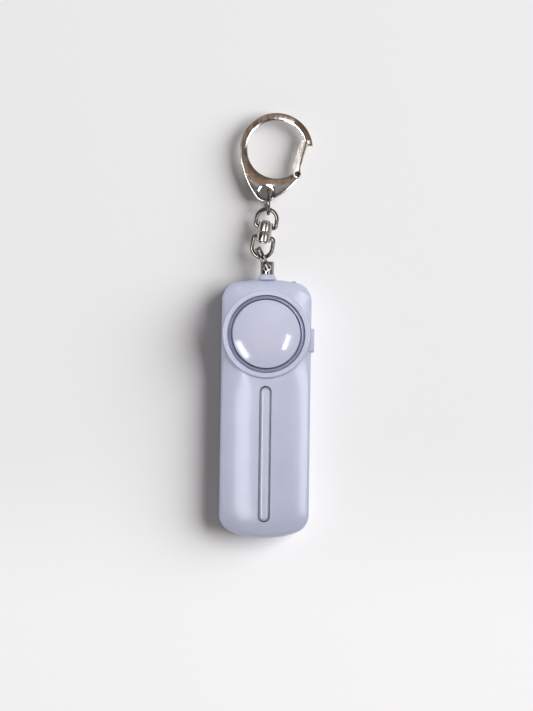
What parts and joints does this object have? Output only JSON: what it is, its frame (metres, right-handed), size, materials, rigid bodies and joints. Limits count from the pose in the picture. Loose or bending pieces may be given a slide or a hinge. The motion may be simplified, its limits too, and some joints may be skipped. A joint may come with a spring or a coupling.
{
  "type": "personal safety alarm",
  "caption": "Slim personal safety alarm with a domed siren, a light strip, a side key and a pull pin that hangs from a swivel and a snap hook.",
  "frame": {"origin": "middle of the flat back of the housing", "axes": "+X across the housing to the side key, +Y along it to the pull pin and the hook, +Z out of the front face"},
  "size_m": [0.0325, 0.1491, 0.015],
  "materials": {
    "case": "satin lilac white",
    "dome": "high gloss",
    "light_guide": "milky clear",
    "bright_metal": "bright nickel plate",
    "brass": "plain",
    "board": "solder mask",
    "black_plastic": "matt",
    "ceramic": "matt",
    "lamp": "plain",
    "cell": "brushed"
  },
  "bodies": {
    "housing": {"front_shell": "case", "rear_shell": "case", "siren_dome": "dome", "light_ring": "light_guide", "light_strip": "light_guide", "torch_led": "light_guide", "siren_holder": "black_plastic", "piezo_plate": "brass", "piezo_ceramic": "ceramic", "circuit_board": "board", "driver_chip": "black_plastic", "boost_coil": "black_plastic", "small_parts": "ceramic", "strip_leds": "lamp", "ring_leds": "lamp", "side_switch": "black_plastic", "pin_socket": "black_plastic", "pin_contacts": "brass", "coin_cells": "cell", "cell_holder": "black_plastic", "cell_contacts": "brass", "case_screws": "bright_metal"},
    "side_key": {"side_button": "case", "switch_plunger": "lamp"},
    "pin": {"pull_pin": "bright_metal", "pin_collar": "case"},
    "ring": {"split_ring": "bright_metal"},
    "swivel_lower": {"lower_bail": "bright_metal", "lower_barrel": "bright_metal", "swivel_rivet": "bright_metal"},
    "swivel_upper": {"upper_barrel": "bright_metal", "upper_bail": "bright_metal"},
    "link": {"jump_ring": "bright_metal"},
    "hook": {"hook_body": "bright_metal", "gate_pin": "bright_metal"},
    "gate": {"hook_gate": "bright_metal", "gate_spring": "bright_metal"}
  },
  "joints": [
    {"name": "key_press", "type": "slide", "parent": "housing", "child": "side_key", "axis": [-1, 0, 0], "range_m": [0, 0.0006], "stiffness_N_per_m": 1000, "springref_m": -0.001},
    {"name": "pin_pull", "type": "slide", "parent": "housing", "child": "pin", "axis": [0, 1, 0], "range_m": [0, 0.012]},
    {"name": "ring_swing", "type": "hinge", "parent": "pin", "child": "ring", "pos_m": [0, 0.0494, 0.0068], "axis": [0, 0, 1], "range_deg": [-60, 30]},
    {"name": "swivel_tip", "type": "hinge", "parent": "ring", "child": "swivel_lower", "pos_m": [-0.00245, 0.0531, 0.005], "axis": [0.989, -0.1478, 0], "range_deg": [-30, 30]},
    {"name": "swivel_spin", "type": "hinge", "parent": "swivel_lower", "child": "swivel_upper", "pos_m": [-0.00245, 0.0531, 0.005], "axis": [0.1478, 0.989, 0], "continuous": true},
    {"name": "link_tip", "type": "hinge", "parent": "swivel_upper", "child": "link", "pos_m": [0.00008, 0.07001, 0.005], "axis": [0.989, -0.1478, 0], "range_deg": [-40, 40]},
    {"name": "hook_swing", "type": "hinge", "parent": "link", "child": "hook", "pos_m": [0.0001, 0.07671, 0.0037], "axis": [0, 0, 1], "range_deg": [-20, 25]},
    {"name": "gate_open", "type": "hinge", "parent": "hook", "child": "gate", "pos_m": [0.01012, 0.08246, 0.0037], "axis": [0, 0, 1], "range_deg": [0, 28], "stiffness_Nm_per_rad": 0.03, "springref_deg": -17.19}
  ]
}
